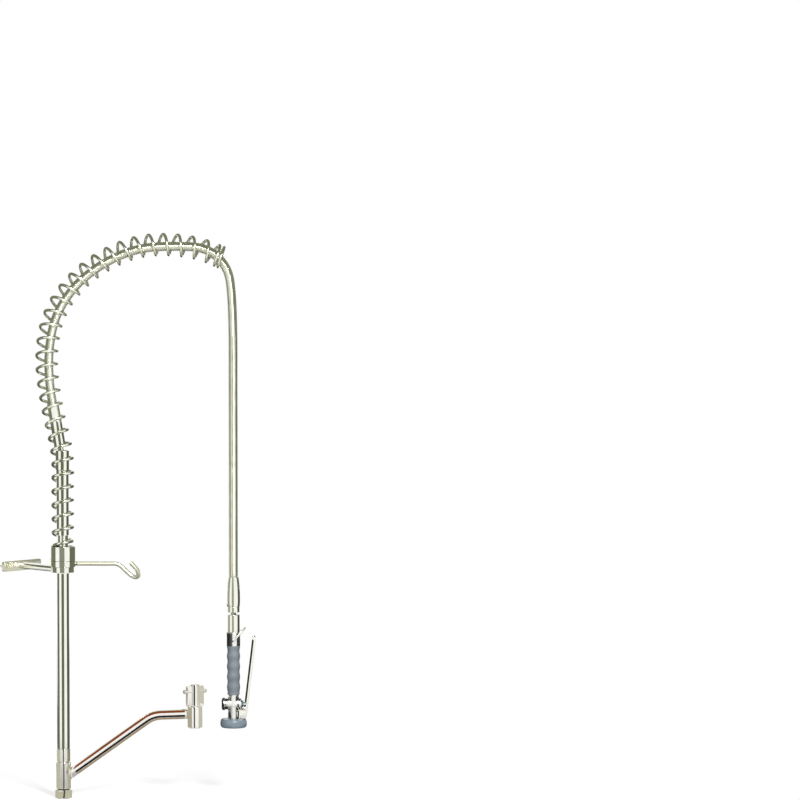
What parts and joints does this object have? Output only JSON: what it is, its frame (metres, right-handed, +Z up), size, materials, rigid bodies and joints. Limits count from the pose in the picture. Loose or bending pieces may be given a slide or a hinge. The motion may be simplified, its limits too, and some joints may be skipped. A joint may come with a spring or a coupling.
{
  "type": "pre rinse faucet",
  "caption": "Deck-mounted pre-rinse faucet: tall riser with wall bracket, arched spring over a ribbed hose, squeeze spray handset, ring hook and swinging spout with a tap handle.",
  "frame": {"origin": "on the riser's axis at the bottom face of the base nut, where the water supply enters", "axes": "+Z up along the riser, +X towards the spout and the hanging handset, +Y away from the viewer; the wall bracket points to -X +Y at 45 degrees"},
  "size_m": [0.5193, 0.1601, 1.1314],
  "materials": {
    "polished_steel": "polished stainless steel",
    "satin_steel": "satin stainless steel",
    "spring_steel": "bright stainless spring wire",
    "hose_steel": "ribbed stainless hose",
    "spout_steel": "polished stainless steel",
    "grip_rubber": "moulded blue-grey rubber",
    "bumper_rubber": "moulded blue-grey rubber, slightly glossy",
    "seal_rubber": "teal seal rubber",
    "black_plastic": "black moulded plastic",
    "brass": "machined brass"
  },
  "bodies": {
    "column": {"base_nut": "polished_steel", "base_washer": "seal_rubber", "thrust_washer": "black_plastic", "column_spigot": "polished_steel", "hub_o_ring_lower": "seal_rubber", "hub_o_ring_upper": "seal_rubber", "upper_sleeve": "polished_steel", "riser_tube": "polished_steel", "bracket_clamp_ring": "polished_steel", "clamp_set_screw": "polished_steel", "bracket_rod": "polished_steel", "wall_plate": "satin_steel", "wall_screw_1": "polished_steel", "wall_screw_2": "polished_steel", "spring_cup": "polished_steel", "arch_spring": "spring_steel", "riser_top_nut": "polished_steel", "hose_washer": "seal_rubber", "hose_tailpiece": "polished_steel", "upper_ferrule": "polished_steel", "hose": "hose_steel", "lower_ferrule": "polished_steel", "swivel_neck": "polished_steel"},
    "spout": {"spout_hub": "polished_steel", "spout_tube": "spout_steel", "spout_valve_body": "spout_steel", "aerator_housing": "spout_steel", "aerator_insert": "black_plastic", "valve_cartridge": "brass"},
    "tap_handle": {"spout_handle": "spout_steel", "handle_cross_pin": "spout_steel", "handle_cap": "spout_steel", "spindle": "brass"},
    "hook": {"hook_ring": "polished_steel", "hook_rod": "satin_steel"},
    "handset": {"handle_connector": "polished_steel", "ring_collar": "polished_steel", "grip": "grip_rubber", "handle_tube": "polished_steel", "valve_body": "polished_steel", "valve_cap": "polished_steel", "valve_spring": "spring_steel", "stem_seal": "seal_rubber", "lever_pivot_pin": "polished_steel", "spray_shell": "polished_steel", "spray_face": "black_plastic", "bumper_ring": "bumper_rubber"},
    "bail": {"hold_ring": "polished_steel"},
    "squeeze_lever": {"lever": "polished_steel"},
    "valve_pin": {"push_pin": "polished_steel", "valve_disc": "seal_rubber"}
  },
  "joints": [
    {"name": "spout_swivel", "type": "hinge", "parent": "column", "child": "spout", "pos_m": [0, 0, 0.0461], "axis": [0, 0, 1], "range_deg": [-150, 60]},
    {"name": "tap_turn", "type": "hinge", "parent": "spout", "child": "tap_handle", "pos_m": [0.2632, 0, 0.185], "axis": [0, 0, 1], "range_deg": [0, 90]},
    {"name": "hook_swivel", "type": "hinge", "parent": "column", "child": "hook", "pos_m": [0, 0, 0.4717], "axis": [0, 0, 1], "range_deg": [-110, 90]},
    {"name": "handset_swivel", "type": "hinge", "parent": "column", "child": "handset", "pos_m": [0.3406, 0, 0.37], "axis": [0, 0, 1], "continuous": true},
    {"name": "lever_squeeze", "type": "hinge", "parent": "handset", "child": "squeeze_lever", "pos_m": [0.3554, 0, 0.1698], "axis": [0, -1, 0], "range_deg": [0, 8.5], "stiffness_Nm_per_rad": 0.8, "springref_deg": -2.86},
    {"name": "valve_push", "type": "slide", "parent": "handset", "child": "valve_pin", "axis": [-1, 0, 0], "range_m": [0, 0.0032]},
    {"name": "ring_swing", "type": "hinge", "parent": "handset", "child": "bail", "pos_m": [0.3406, 0, 0.3171], "axis": [0, 1, 0], "range_deg": [-14, 28]}
  ],
  "couplings": [
    {"joint": "valve_push", "follows": "lever_squeeze", "m_per_rad": 0.02}
  ]
}
